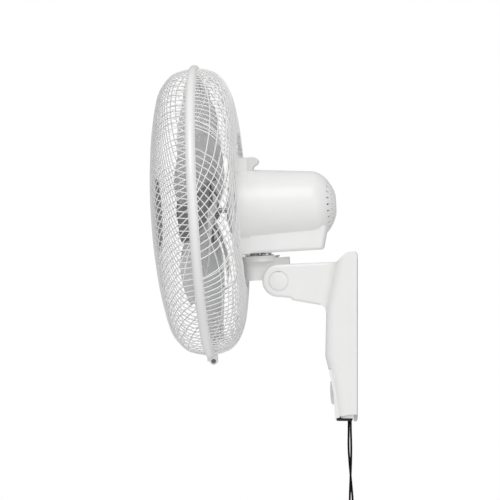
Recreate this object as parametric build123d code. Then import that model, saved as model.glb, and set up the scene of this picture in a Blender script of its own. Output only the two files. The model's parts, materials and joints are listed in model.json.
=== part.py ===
"""Wall mounted fan: a 400 mm fan head on a short arm, with a wall bracket and two pull cords.

Millimetres. Origin at the middle of the bracket's wall face, +Z up, the wall plane at Y = 0 and the
air blowing towards -Y. The head and its neck are drawn level about the tilt pivot and are then
turned together by the tilt at which the fan stands.
"""
from build123d import *
from math import atan2, cos, hypot, pi, radians, sin, sqrt, tan
import os

os.makedirs("parts", exist_ok=True)

# ---------------------------------------------------------------- driving dimensions, mm and degrees
RUN = 0.05               # radial running clearance of shafts and pins
GAP = 0.3                # free gap between moving faces
FAR = 400.0              # reach of cuts that pass right through a piece
HEAD_TILT = 3.3          # the head leans this far front-down at rest

# bracket
BRACKET_TOP = 122.8      # height of the shell's top above the origin
BRACKET_BOTTOM = 111.0   # depth of the shell's side walls below the origin
SHELL_HALF = 46.0        # half width of the shell
SHELL_WALL = 2.5
SHELL_SHOULDER = 107.6   # height at which the top slopes off, level with the arm's top
SHELL_FOOT = 3.9         # the side walls drop this much towards the front
SHELL_ROUND = 14.0       # rounding of the shell's long front edges
ROOT_R = 12.0            # hollow blend between the arm's sides and the shell
BACK_DEPTH = 10.0        # depth of the rear moulding against the wall
PLATE_DEPTH = 4.8        # depth of the pressed wall plate with its folded edge
PLATE_SHEET = 1.6        # steel thickness of the wall plate
PLATE_HALF = 41.0        # half width of the wall plate
PLATE_TOP = 112.0
HOLE_PITCH_X = 56.0      # wall screw holes, side to side
HOLE_PITCH_Z = 170.0     # wall screw holes, up and down
HOLE_R = 2.75
SCREW_X = 37.6           # screws that join the two mouldings
SCREW_ZS = (-64.0, 84.0)
SCREW_R = 1.9
SCREW_HEAD_R = 3.4
BASE_BOTTOM = 116.5      # underside of the inset base below the origin
BASE_FLOOR_T = 2.9       # the switches stand on this floor
BASE_FRONT = 24.3
BASE_HALF = 41.0
BASE_ROUND = 9.0         # its front corners follow the shell's rounding inside
BASE_RISE = 8.8          # height of the base's rim
CORD_PLATE_T = 4.2       # thickness of the black plate that the cords leave
PANEL_HALF = 42.0
PANEL_CHEEK = 2.4        # thickness of the panel's two side walls
PANEL_TOP = -46.0
PANEL_INNER = 29.3       # inner face of the control panel at its foot

# arm and tilt pivot
PIVOT_OUT = 113.0        # pivot distance from the wall
PIVOT_UP = 80.3
KNUCKLE_R = 23.5
ARM_HALF = 28.0          # half width of the arm
ARM_ROUND = 4.0
SLOT_HALF = 17.0         # half width of the fork
SLOT_BACK = 27.0         # the fork's end wall behind the pivot
BOLT_R = 3.5
BOLT_HEAD_R = 6.0
BOLT_HEAD_T = 3.6
CAP_R = 13.6
CAP_T = 2.4
CAP_CROWN = 1.3          # the caps are slightly domed
CAP_RECESS = 3.4
CAP_CLEAR = 0.35
TAB_REAR = 7.0           # rear face of the screw tabs

# neck and swivel, level head frame: y to the rear, z up, origin at the pivot
AXIS_UP = 106.0          # fan axis above the pivot
NECK_HALF = 16.6
NECK_BOTTOM = 2.0
POCKET_DEPTH = 4.4       # room for the clip under the neck
NECK_BARREL_R = 16.0
HOOD_BACK = 16.3
HOOD_TOP = 34.0
SWIVEL_Y = -33.6         # swivel axis in front of the pivot
DISC_Y = -25.4           # centre of the swivel disc
DISC_R = 28.0
DISC_TOP = 37.3
DISC_EDGE = 1.9
DRUM_R = 26.2
DRUM_BOTTOM = 29.0
NECK_BOSS_R = NECK_HALF - 0.2   # round front of the neck about the swivel axis
POST_R = 6.0
POST_TOP_R = 7.2
BUSH_R = 8.5

# swing drive
CRANK_BACK = 12.0        # crank centre behind the swivel axis
CRANK_THROW = 10.05
CRANK_PIN_R = 2.0
CRANK_DISC_R = 13.2      # radius of the crank's fan-shaped plate
CRANK_HUB_R = 4.2
CRANK_SHAFT_R = 3.0
SWING_ARM_R = 5.5        # round end of the slotted plate
SLOT_CLEAR = 0.35
SWING_ARM_T = 1.6

# motor covers
COVER_FRONT = -55.0      # front face of the front cover
COVER_SEAM = -36.2
COVER_R = 58.6
HOUSING_R = 57.2         # rear cover radius at the seam
HOUSING_REAR_R = 49.8
HOUSING_REAR = 54.5
DOME_END = 88.6
BOX_HALF = 41.4          # half width of the box below the motor, at the seam
BOX_REAR_HALF = 33.2
BOX_SLANT = 8.2          # the box's rear face leans forward by this much
BOX_CORNER = 7.0         # rounding of its rear corners
BOX_EDGE = 5.0           # rounding of its bottom edges
BOX_DROP = 64.5          # underside of the covers below the fan axis
BOX_REAR = 75.0
COVER_WALL = 2.2
LIP_TOP = 74.6           # top of the carrying lip above the fan axis
LIP_HALF = 24.0
VENT_COUNT = 24
VENT_W = 2.0
VENT_RINGS = ((32.0, 38.0), (25.0, 29.0))

# motor
STATOR_R = 42.0
STATOR_FRONT = -10.0
STATOR_REAR = 22.0
BORE_R = 24.6
ROTOR_R = 24.0
BELL_R = 48.0
BOSS_R = 19.0
SHOULDER_R = 21.6        # the rear grille is clamped against this shoulder
BOSS_FRONT = -69.6
SHAFT_R = 4.0

# grille, from the ring plane: a to the rear, r from the fan axis
RING_Y = -104.9
SHOULDER_Y = -55.8       # rear face of the rear grille's centre plate, level head frame
GRILLE_R = 208.0
BAND_CROWN = 5.2         # the clamp band stands out this far from the rims
BAND_HALF = 6.4
BAND_R = GRILLE_R + BAND_CROWN
LUG_OUT = 3.8            # clamp screw centre outside the band
LUG_R = BAND_R + LUG_OUT
LUG_A = 3.5              # clamp screw centre behind the ring plane
LUG_BOSS_R = 5.4
LUG_HALF = 9.5           # half length of the clamp lugs
CLAMP_SLIT = 1.0         # half width of the slit between the lugs
CLAMP_SCREW_R = 1.85
CLAMP_HEAD_R = 2.9
CLAMP_HEAD_T = 1.7
HEAD_SEAT = 2.2          # the clamp screw's head is sunk this deep
RIM_T = 3.4
RIM_GAP = 0.2            # half gap between the two rims
RIM_DEPTH = 7.0
DISH_R = 112.0           # the rear grille's pressed centre plate
DISH_FLOOR = SHOULDER_Y - RING_Y
DISH_WALL = 1.8
BACKING_R = 52.6
FRONT_DOME = ((GRILLE_R, -RIM_DEPTH), (GRILLE_R - 5.7, -27.8), (GRILLE_R - 20.0, -45.0),
              (GRILLE_R - 43.0, -55.2), (104.0, -67.0), (BACKING_R + 0.4, -71.0))
REAR_DOME = ((GRILLE_R, RIM_DEPTH), (GRILLE_R - 4.8, 27.2), (GRILLE_R - 21.5, 43.0),
             (GRILLE_R - 44.0, 51.4), (DISH_R + 13.0, 57.8), (DISH_R + 2.0, 58.8))
WIRE_T = 1.2             # thickness of one layer of wires
WIRE_W = 2.0
WIRE_PITCH = 19.0
FRONT_ANGLES = (-42.0, 12.0)
REAR_ANGLES = (50.0, -57.0)
LONG_STRIP = 200.0       # strips longer than this are made in four lengths
STRIP_CUT = 45.0         # distance of the outer cuts from the middle
BADGE_R = 23.5

# blades
BLADE_COUNT = 5
TIP_CLEAR = 18.0         # blade tips inside the rims
BLADE_TIP_R = GRILLE_R - TIP_CLEAR
HUB_R = 46.0
HUB_FRONT = -34.5
HUB_ROUND = 7.0          # rounding of the hub's front edge
SPINNER_R = 17.5
SPINNER_FRONT = -38.5
SHAFT_FRONT = -37.0
HUB_REAR = 12.6
HUB_BOSS_R = 12.4
HUB_BOSS_REAR = 23.6
BLADE_T = 2.4
BLADE_PHASE = 36.0
# radius, chord, pitch in degrees, axial middle, sweep along the chord
BLADE_SECTIONS = ((30.0, 70.0, 38.0, -3.0, 4.0), (90.0, 118.0, 30.0, -2.0, 8.0),
                  (140.0, 138.0, 20.0, 1.0, 12.0), (BLADE_TIP_R + 6.0, 140.0, 11.0, 5.0, 16.0))

# pull cords
CORD_R = 1.5
CORD_X = 22.0
EYELET_R = 3.2
KNOB_R = 7.5
KNOB_H = 26.0
BUSH_Y = -15.0           # cable bush between the two cords
BUSH_HOLE_R = 5.2
CABLE_R = 4.0            # bore of the bush

# ---------------------------------------------------------------- levels worked out from the above
BASE_FLOOR = -BASE_BOTTOM + BASE_FLOOR_T
CORD_PLATE_BOTTOM = BASE_BOTTOM + CORD_PLATE_T
PLATE_BOTTOM = CORD_PLATE_BOTTOM
HEAD = Pos(0, -PIVOT_OUT, PIVOT_UP) * Rot(HEAD_TILT, 0, 0)

# each cord's route is chosen by hand: (y, z) of its corners at a fixed x, from the switch to the knob
SPEED_ROUTE = [(-12.1, BASE_FLOOR), (-12.1, -134.0), (-12.6, -160.0), (-10.8, -184.0), (-8.4, -211.0),
               (-5.9, -238.0), (-6.6, -268.0), (-8.6, -299.0), (-8.6, -330.0)]
SWING_ROUTE = [(-9.9, BASE_FLOOR), (-9.9, -134.0), (-9.0, -158.0), (-9.2, -182.0), (-10.3, -209.0),
               (-11.5, -238.0), (-10.6, -266.0), (-9.8, -295.0), (-9.8, -324.0)]


# ---------------------------------------------------------------- helpers
def save(node, shape):
    """Write one sub-part."""
    export_step(shape, f"parts/{node}.step")


def group(solids):
    """Several separate solids as one sub-part."""
    return Compound(children=list(solids))


def head(shape):
    """Place a piece drawn in the level head frame."""
    return HEAD * shape


def cyl_x(r, x0, x1, y=0.0, z=0.0):
    """Cylinder along X between x0 and x1."""
    return Pos((x0 + x1) / 2, y, z) * Rot(0, 90, 0) * Cylinder(r, x1 - x0)


def cyl_y(r, y0, y1, x=0.0, z=0.0):
    """Cylinder along Y between y0 and y1."""
    return Pos(x, (y0 + y1) / 2, z) * Rot(-90, 0, 0) * Cylinder(r, y1 - y0)


def cyl_z(r, z0, z1, x=0.0, y=0.0):
    """Cylinder along Z between z0 and z1."""
    return Pos(x, y, (z0 + z1) / 2) * Cylinder(r, z1 - z0)


def ring_y(r_out, r_in, y0, y1, z=0.0):
    """Tube along Y."""
    return cyl_y(r_out, y0, y1, z=z) - cyl_y(r_in, y0 - 1, y1 + 1, z=z)


def ring_z(r_out, r_in, z0, z1, x=0.0, y=0.0):
    """Tube along Z."""
    return cyl_z(r_out, z0, z1, x, y) - cyl_z(r_in, z0 - 1, z1 + 1, x, y)


def block(x0, x1, y0, y1, z0, z1):
    """Box by its corners."""
    return Pos((x0 + x1) / 2, (y0 + y1) / 2, (z0 + z1) / 2) * Box(x1 - x0, y1 - y0, z1 - z0)


def slab(points, half):
    """Solid from a side view given as (y, z) corners, from -half to half in X."""
    face = make_face(Polyline(*[(y, z) for y, z in points], close=True))
    return Pos(-half, 0, 0) * extrude(Plane.YZ * face, amount=2 * half)


def turned(points, y_mid=0.0):
    """Solid of revolution about the fan axis from (r, y) corners."""
    face = make_face(Polyline(*[(r, y + y_mid) for r, y in points], close=True))
    return revolve(face, axis=Axis.Y)


def on_axis(shape):
    """Lift a piece drawn about the Y axis up to the fan axis."""
    return Pos(0, 0, AXIS_UP) * shape


# ---------------------------------------------------------------- wall plate and bracket
def body_outline():
    """Side view of the shell against the wall, as (y, z) corners."""
    return [(0, -BRACKET_BOTTOM), (-10, -BRACKET_BOTTOM), (-28.9, -BRACKET_BOTTOM - SHELL_FOOT), (-31.9, -92.0),
            (-36.7, -63.2), (-45.7, -27.5), (-44.2, 34.8), (-29.6, SHELL_SHOULDER), (-22.2, SHELL_SHOULDER + 7.5),
            (-15.0, BRACKET_TOP - 1.6), (-8.0, BRACKET_TOP), (-3.0, BRACKET_TOP - 0.5), (0, BRACKET_TOP - 4)]


def open_outline():
    """The same side view carried on below its foot, so that its inside is open there."""
    (y0, z0), (y1, z1) = body_outline()[2:4]
    low = z0 - 30
    return [(0, low), (y0 + (y1 - y0) * (low - z0) / (z1 - z0), low)] + body_outline()[3:]


def arm_outline(back):
    """Side view of the arm with its round knuckle, as a face in the YZ plane."""
    y, z = -PIVOT_OUT, PIVOT_UP
    top = (y, z + KNUCKLE_R)
    low_dir = radians(-82)
    low = (y + KNUCKLE_R * cos(low_dir), z + KNUCKLE_R * sin(low_dir))
    left = (y - KNUCKLE_R, z)
    edges = [ThreePointArc(top, left, low),
             Polyline(low, (y + 0.74 * KNUCKLE_R, z - 1.06 * KNUCKLE_R), (y + 0.868 * KNUCKLE_R, z - 1.196 * KNUCKLE_R),
                      (-52.3, 45.4), (-46.5, 42.2), (-44.4, 36.0), (back, 36.0), (back, SHELL_SHOULDER),
                      (-29.6, SHELL_SHOULDER), top)]
    return make_face(edges)


def wall_plate():
    sheet = block(-PLATE_HALF, PLATE_HALF, -PLATE_SHEET, 0, -PLATE_BOTTOM, PLATE_TOP)
    folds = block(-PLATE_HALF, PLATE_HALF, -PLATE_DEPTH, 0, -PLATE_BOTTOM, PLATE_TOP)
    folds -= block(-PLATE_HALF + PLATE_SHEET, PLATE_HALF - PLATE_SHEET, -PLATE_DEPTH - 1, -PLATE_SHEET,
                   -PLATE_BOTTOM + PLATE_SHEET, PLATE_TOP - PLATE_SHEET)
    plate = sheet + folds
    for x in (-HOLE_PITCH_X / 2, HOLE_PITCH_X / 2):
        for z in (-HOLE_PITCH_Z / 2, HOLE_PITCH_Z / 2):
            plate -= cyl_y(HOLE_R, -PLATE_DEPTH, 1, x, z)
    plate -= block(-18, 18, -PLATE_DEPTH, 1, 25, 65)
    return plate


def bracket_back():
    """Rear moulding: the shell's outline carried on to the wall, open inside."""
    frame = slab(body_outline(), SHELL_HALF - 0.4) & block(-FAR, FAR, -BACK_DEPTH, 0, -FAR, FAR)
    inner = PLATE_HALF + 0.4
    frame -= block(-inner, inner, -BACK_DEPTH - 1, 1, -BRACKET_BOTTOM - 1, PLATE_TOP + 0.4)
    for side in (-1, 1):
        for z in SCREW_ZS:
            tab = block(SCREW_X - 5, inner + 1, -BACK_DEPTH, -TAB_REAR, z - 6, z + 6)
            tab -= cyl_y(SCREW_R + 0.1, -20, 0, SCREW_X, z)
            frame += tab if side > 0 else mirror(tab, about=Plane.YZ)
    return frame


def round_front(body, half, radius):
    """Round the long side edges of the front, away from the short edges of the top."""
    long_edges = [e for e in body.edges()
                  if abs(abs(e.center().X) - half) < 0.01 and e.center().Y < -16 and e.length > 20]
    return fillet(long_edges, radius)


def arm_root():
    """Thickening of the arm where it meets the shell: hollow arcs that run out on both of them."""
    front, (low_y, low_z), (high_y, high_z) = 20.0, body_outline()[6], body_outline()[7]
    mid_x, mid_y = SHELL_HALF - SHELL_ROUND, low_y + SHELL_ROUND
    across = ARM_HALF + ROOT_R - mid_x
    along = sqrt((SHELL_ROUND + ROOT_R) ** 2 - across ** 2)
    hollow = (ARM_HALF + ROOT_R, mid_y - along)
    turn = atan2(along, -across)

    def on_hollow(angle, side):
        return (side * (hollow[0] + ROOT_R * cos(angle)), hollow[1] + ROOT_R * sin(angle))

    edges = []
    for side in (-1, 1):
        start, middle, end = [on_hollow(a, side) for a in (turn, (turn + pi) / 2, pi)]
        edges.append(ThreePointArc(start, middle, end))
    left, right = edges
    back_y = low_y + front
    edges.append(Line(right @ 1, left @ 1))
    edges.append(Polyline(right @ 0, ((right @ 0).X, back_y), ((left @ 0).X, back_y), left @ 0))
    lean = Vector(0, high_y - low_y, high_z - low_z)
    return Pos(0, 0, low_z) * extrude(make_face(edges), amount=lean.length * 1.1, dir=lean)


def bracket_shell():
    body = slab(body_outline(), SHELL_HALF)
    body = round_front(body, SHELL_HALF, SHELL_ROUND)
    body &= block(-FAR, FAR, -FAR, -BACK_DEPTH, -FAR, FAR)
    arm = Pos(-ARM_HALF, 0, 0) * extrude(Plane.YZ * arm_outline(-BACK_DEPTH), amount=2 * ARM_HALF)
    long_edges = [e for e in arm.edges() if abs(abs(e.center().X) - ARM_HALF) < 0.01 and e.center().Y < -48]
    arm = fillet(long_edges, ARM_ROUND)
    root = Pos(-SHELL_HALF, 0, 0) * extrude(Plane.YZ * arm_outline(-BACK_DEPTH), amount=2 * SHELL_HALF)
    shell = body + arm + (root & arm_root())
    inside = offset(make_face(Polyline(*open_outline(), close=True)), amount=-SHELL_WALL)
    half = SHELL_HALF - SHELL_WALL
    cavity = Pos(-half, 0, 0) * extrude(Plane.YZ * inside, amount=2 * half)
    shell -= round_front(cavity, half, SHELL_ROUND - SHELL_WALL)
    for x in (-SCREW_X, SCREW_X):
        for z in SCREW_ZS:
            post = cyl_y(SHELL_HALF - SHELL_WALL - SCREW_X + 0.5, -26, -BACK_DEPTH, x, z) & body
            shell += post - cyl_y(SCREW_R, -24, 0, x, z)
    y_pivot = -PIVOT_OUT
    shell -= block(-ARM_HALF + 4, ARM_HALF - 4, y_pivot + SLOT_BACK + 3, -30, 57, PIVOT_UP + 18)
    shell -= block(-SLOT_HALF, SLOT_HALF, y_pivot - FAR, y_pivot + SLOT_BACK, 0, FAR)
    shell -= cyl_x(BOLT_R + RUN, -FAR, FAR, y_pivot, PIVOT_UP)
    for side in (-1, 1):
        x_out = side * (ARM_HALF + 1)
        x_cap = side * (ARM_HALF - CAP_RECESS)
        x_head = side * (ARM_HALF - CAP_RECESS - BOLT_HEAD_T - 0.6)
        shell -= cyl_x(CAP_R + CAP_CLEAR, min(x_cap, x_out), max(x_cap, x_out), y_pivot, PIVOT_UP)
        shell -= cyl_x(BOLT_HEAD_R + 0.6, min(x_head, x_out), max(x_head, x_out), y_pivot, PIVOT_UP)
    shell -= panel_space(0.4)
    return shell


def panel_space(grow):
    """The room in the slanted lower front that the control panel fills, grown by a gap."""
    half = PANEL_HALF + grow
    top = PANEL_TOP + grow
    points = [(-FAR, top), (-30, top), (-20, -96), (-20, -FAR), (-FAR, -FAR)]
    return slab(points, half)


def control_panel():
    """Crowned panel that closes the lower front and turns under at its bottom edge."""
    foot = BASE_BOTTOM + 3.5
    outline = [(-41.0, PANEL_TOP), (-37.4, -60.0), (-33.6, -80.0), (-32.4, -99.0), (-31.8, -110.0),
               (-31.4, -foot + 3.2), (-30.4, -foot + 0.6), (-PANEL_INNER, -foot), (-PANEL_INNER, -107.0),
               (-28.4, -98.0), (-30.6, -80.0), (-33.4, -60.0), (-37.6, PANEL_TOP)]
    panel = slab(outline, PANEL_HALF)
    front = outline[:6]
    behind = [(-24.8, -foot + 4.4), (-24.8, -99.0), (-26.0, -80.0), (-29.6, -60.0), (-33.0, PANEL_TOP)]
    cheeks = slab(front + behind, PANEL_HALF) - slab(front + behind, PANEL_HALF - PANEL_CHEEK)
    return panel + cheeks - lens_body(0.15)


def lens_body(grow):
    top, bottom = -66.0, -98.4
    slope = (34.9 - 31.6) / (top - bottom)
    return slab([(-38.8 - grow, top + grow), (-39.2 - grow, -76.0), (-38.6 - grow, -88.0),
                 (-37.4 - grow, -96.5), (-35.5 - grow, bottom - grow),
                 (-31.6 + slope * grow, bottom - grow), (-34.9 - slope * grow, top + grow)], 11.0 + grow)


def rounded_tray(half, front, rear, low, high, radius):
    """Block whose two front corners are rounded."""
    tray = block(-half, half, -front, rear, low, high)
    return fillet(tray.edges().filter_by(Axis.Z).group_by(Axis.Y)[0], radius)


def cord_holes(radius):
    """Cuts along Z at the places where the cords leave the bracket."""
    return [cyl_z(radius, -FAR, BASE_FLOOR + 1, x, route[0][0])
            for x, route in ((CORD_X, SPEED_ROUTE), (-CORD_X, SWING_ROUTE))]


def bracket_base():
    """Tray that closes the shell below and carries the switches."""
    low, high = -BASE_BOTTOM, -BASE_BOTTOM + BASE_RISE
    base = rounded_tray(BASE_HALF, BASE_FRONT, -PLATE_DEPTH, low, high, BASE_ROUND)
    base -= rounded_tray(BASE_HALF - 3, BASE_FRONT - 3, -PLATE_DEPTH - 3, BASE_FLOOR, 0, BASE_ROUND - 3)
    base -= cord_holes(EYELET_R)
    return base - cyl_z(BUSH_HOLE_R, -FAR, 0, 0, BUSH_Y)


def cord_plate():
    """Black plate under the base, with an eyelet round each cord."""
    low, high = -CORD_PLATE_BOTTOM, -BASE_BOTTOM
    plate = block(-BASE_HALF + 4, BASE_HALF - 4, -PANEL_INNER + GAP, -PLATE_DEPTH - 1.7, low, high)
    plate = fillet(plate.edges().filter_by(Axis.X).group_by(Axis.Z)[0], 1.2)
    for x, route in ((CORD_X, SPEED_ROUTE), (-CORD_X, SWING_ROUTE)):
        plate += cyl_z(EYELET_R, low, high + 2, x, route[0][0])
    plate -= cord_holes(CORD_R + 0.75)
    return plate - cyl_z(BUSH_HOLE_R, -FAR, 0, 0, BUSH_Y)


def cable_bush():
    """Rubber bush in the floor, with a collar below, for the supply cable."""
    collar = ring_z(BUSH_HOLE_R + 1.8, CABLE_R, -CORD_PLATE_BOTTOM - 1.6, -CORD_PLATE_BOTTOM, 0, BUSH_Y)
    return collar + ring_z(BUSH_HOLE_R, CABLE_R, -CORD_PLATE_BOTTOM, BASE_FLOOR, 0, BUSH_Y)


def pull_switch(x):
    """Rotary pull switch seated in the base over its eyelet."""
    case = block(x - 13, x + 13, -BASE_FRONT + 3.2, -PLATE_DEPTH - 3.2, BASE_FLOOR, BASE_FLOOR + 28)
    return fillet(case.edges().filter_by(Axis.Z), 2)


def terminal_block():
    body = block(-24, 24, -17, -PLATE_SHEET, -58, -44)
    for i in range(4):
        body -= cyl_y(2.2, -18, -12, -18 + 12 * i, -51)
    return body


def shell_screws():
    """Screws that hold the front moulding to the rear moulding."""
    screws = []
    for x in (-SCREW_X, SCREW_X):
        for z in SCREW_ZS:
            screws.append(cyl_y(SCREW_R, -22, -TAB_REAR, x, z) + cyl_y(SCREW_HEAD_R, -TAB_REAR, -TAB_REAR + 1.8, x, z))
    return screws


def tilt_bolt():
    x_head = ARM_HALF - CAP_RECESS - 0.5
    shank = cyl_x(BOLT_R, -x_head, x_head - BOLT_HEAD_T, -PIVOT_OUT, PIVOT_UP)
    hexagon = extrude(RegularPolygon(BOLT_HEAD_R, 6), amount=BOLT_HEAD_T)
    bolt_head = Pos(x_head - BOLT_HEAD_T, -PIVOT_OUT, PIVOT_UP) * Rot(0, 90, 0) * hexagon
    return shank + bolt_head


def tilt_nut():
    x_head = ARM_HALF - CAP_RECESS - 0.5
    hexagon = extrude(RegularPolygon(BOLT_HEAD_R, 6), amount=BOLT_HEAD_T)
    nut = Pos(-x_head, -PIVOT_OUT, PIVOT_UP) * Rot(0, 90, 0) * hexagon
    return nut - cyl_x(BOLT_R, -FAR, FAR, -PIVOT_OUT, PIVOT_UP)


def tilt_caps():
    """Domed snap-in caps over the bolt, each with a small notch to lift it out."""
    rim = [(0, 0), (CAP_R, 0), (CAP_R, CAP_T)]
    edges = [Polyline(*rim), Line((0, 0), (0, CAP_T + CAP_CROWN)),
             ThreePointArc((CAP_R, CAP_T), (CAP_R * 0.55, CAP_T + CAP_CROWN * 0.72), (0, CAP_T + CAP_CROWN))]
    cap = revolve(make_face(edges), axis=Axis.Y)
    cap -= block(-1.4, 1.4, CAP_T - 1.6, CAP_T + 3, CAP_R - 1.0, CAP_R + 1)
    inner = ARM_HALF - CAP_RECESS + 0.2
    caps = []
    for side in (-1, 1):
        caps.append(Pos(side * inner, -PIVOT_OUT, PIVOT_UP) * Rot(0, 0, -90 * side) * cap)
    return caps


# ---------------------------------------------------------------- neck
def neck_block():
    barrel = cyl_x(NECK_BARREL_R, -NECK_HALF, NECK_HALF)
    body = slab([(SWIVEL_Y, NECK_BOTTOM), (0, NECK_BOTTOM), (HOOD_BACK, NECK_BOTTOM + 2.4), (HOOD_BACK, HOOD_TOP),
                 (SWIVEL_Y, HOOD_TOP)], NECK_HALF - 0.2)
    body += cyl_z(NECK_BOSS_R, NECK_BOTTOM, HOOD_TOP, 0, SWIVEL_Y)
    drum = cyl_z(DRUM_R, DRUM_BOTTOM, DISC_TOP - DISC_EDGE - 0.6, 0, DISC_Y)
    neck = barrel + body + drum
    neck -= cyl_x(BOLT_R + RUN, -FAR, FAR)
    neck -= cyl_z(BUSH_R, -5, 60, 0, SWIVEL_Y)
    neck -= cyl_z(POST_R + 3.8, -5, NECK_BOTTOM + POCKET_DEPTH, 0, SWIVEL_Y)
    return neck - swing_arm_screws()


def swivel_disc():
    low = DISC_TOP - DISC_EDGE
    disc = cyl_z(DISC_R, low, DISC_TOP, 0, DISC_Y)
    skirt = Pos(0, DISC_Y, low - 0.3) * Cone(DRUM_R, DISC_R - 0.8, 0.6)
    disc = disc + skirt - cyl_z(BUSH_R, 0, 60, 0, SWIVEL_Y)
    return disc - swing_arm_screws()


def swivel_bush():
    return ring_z(BUSH_R, POST_R + RUN, NECK_BOTTOM + POCKET_DEPTH, DISC_TOP, 0, SWIVEL_Y)


def swing_arm():
    """Slotted plate on the disc, in which the crank pin runs."""
    low, high = DISC_TOP, DISC_TOP + SWING_ARM_T
    near = hypot(CRANK_BACK, CRANK_THROW)
    far = CRANK_BACK + CRANK_THROW
    half = CRANK_PIN_R + SLOT_CLEAR
    plate = cyl_z(12, low, high, 0, SWIVEL_Y) + cyl_z(SWING_ARM_R, low, high, 0, SWIVEL_Y + far)
    plate += block(-SWING_ARM_R, SWING_ARM_R, SWIVEL_Y, SWIVEL_Y + far, low, high)
    plate -= cyl_z(POST_TOP_R + 0.5, low - 1, high + 1, 0, SWIVEL_Y)
    plate -= cyl_z(half, low - 1, high + 1, 0, SWIVEL_Y + near)
    plate -= cyl_z(half, low - 1, high + 1, 0, SWIVEL_Y + far)
    plate -= block(-half, half, SWIVEL_Y + near, SWIVEL_Y + far, low - 1, high + 1)
    for x in (-5, 5):
        plate -= cyl_z(1.5, low - 1, high + 1, x, SWIVEL_Y + 12.2)
    return plate


def swing_arm_screws():
    return [cyl_z(1.5, 29.0, DISC_TOP + SWING_ARM_T, x, SWIVEL_Y + 12.2) for x in (-5, 5)]


# ---------------------------------------------------------------- swivel post and swing drive
def swivel_post():
    low = cyl_z(POST_R, NECK_BOTTOM + 1.2, DISC_TOP + 0.15, 0, SWIVEL_Y)
    return low + cyl_z(POST_TOP_R, DISC_TOP + 0.15, 60, 0, SWIVEL_Y)


def post_clip():
    low = NECK_BOTTOM + 2.5
    return ring_z(POST_R + 3.0, POST_R, low, low + 1.6, 0, SWIVEL_Y)


def swing_motor():
    floor = AXIS_UP - BOX_DROP + COVER_WALL
    middle = SWIVEL_Y + CRANK_BACK + 10.5
    case = cyl_z(14, floor, floor + 13, 0, middle)
    case += block(-21, 21, middle - 3.5, middle + 3.5, floor, floor + 1.2)
    return case - cyl_z(CRANK_SHAFT_R + RUN, floor - 1, floor + 7, 0, SWIVEL_Y + CRANK_BACK)


def swing_crank():
    y = SWIVEL_Y + CRANK_BACK
    top = AXIS_UP - BOX_DROP - GAP
    floor = AXIS_UP - BOX_DROP + COVER_WALL
    sector = extrude(make_face(Polyline((0, y), (26, y + 25), (26, y + 40), (-26, y + 40), (-26, y + 25),
                                        close=True)), amount=1.1)
    crank = cyl_z(CRANK_DISC_R, top - 1.1, top, 0, y) & Pos(0, 0, top - 1.1) * sector
    crank += cyl_z(CRANK_HUB_R, top - 1.1, top, 0, y)
    crank += cyl_z(CRANK_HUB_R - 0.2, DISC_TOP + SWING_ARM_T + 0.2, top, 0, y)
    crank += cyl_z(CRANK_SHAFT_R, top, floor + 6, 0, y)
    crank += cyl_z(CRANK_PIN_R, DISC_TOP + 0.3, top - 1.1, 0, y + CRANK_THROW)
    return crank


# ---------------------------------------------------------------- motor
def front_bell():
    cup = ring_y(BELL_R - 4, BELL_R - 6.5, -31, STATOR_FRONT) + ring_y(BELL_R, STATOR_R + 0.3, -14, -10.4)
    cup += cyl_y(BELL_R - 4, -31, -28.5)
    cup += cyl_y(BOSS_R, BOSS_FRONT, -28.5) + cyl_y(SHOULDER_R, SHOULDER_Y, -28.5)
    cup -= cyl_y(11, BOSS_FRONT - 1, -20)
    cup = on_axis(cup)
    cup += block(-12, 12, -43, -25.5, 50, 66)
    cup -= cyl_z(POST_TOP_R, 49, 60, 0, SWIVEL_Y)
    for x, z in stud_places():
        cup -= cyl_y(1.8, -40, 60, x, AXIS_UP + z)
    return cup


def rear_bell():
    cup = ring_y(BELL_R - 4, BELL_R - 6.5, STATOR_REAR, 43) + ring_y(BELL_R, STATOR_R + 0.3, 22.4, 26)
    cup += cyl_y(BELL_R - 4, 40.5, 43) + cyl_y(16, 34, 56)
    cup -= cyl_y(11, 30, 46)
    cup -= cyl_y(SHAFT_R + 1, 45, 49)
    cup -= cyl_y(2.0, 48, 60)
    cup = on_axis(cup)
    for x, z in stud_places():
        cup -= cyl_y(1.8, -40, 60, x, AXIS_UP + z)
    return cup


def stud_places():
    r = STATOR_R + 3
    return [(r * cos(radians(a)), r * sin(radians(a))) for a in (40, 140, 220, 320)]


def motor_studs():
    return [cyl_y(1.8, -16, 28, x, AXIS_UP + z) for x, z in stud_places()]


def stator_core():
    core = ring_y(STATOR_R, BORE_R, STATOR_FRONT, STATOR_REAR)
    for i in range(12):
        angle = radians(30 * i + 15)
        core -= cyl_y(2.6, -30, 50, 31 * cos(angle), 31 * sin(angle))
    return on_axis(core)


def windings():
    front = ring_y(39, 27, STATOR_FRONT - 12, STATOR_FRONT)
    rear = ring_y(39, 27, STATOR_REAR, STATOR_REAR + 12)
    return [on_axis(front), on_axis(rear)]


def bearings():
    return [on_axis(ring_y(11, SHAFT_R + RUN, -62, -50)), on_axis(ring_y(11, SHAFT_R + RUN, 36, 46))]


def run_capacitor():
    floor = AXIS_UP - BOX_DROP + COVER_WALL
    return block(-18, 18, 14, 52, floor, floor + 12.5)


# ---------------------------------------------------------------- motor covers
def covers_section(wall):
    """Front view of the covers at the seam: a circle with a square box below it."""
    r = COVER_R - wall
    return r, BOX_HALF - wall, BOX_DROP - wall


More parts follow.
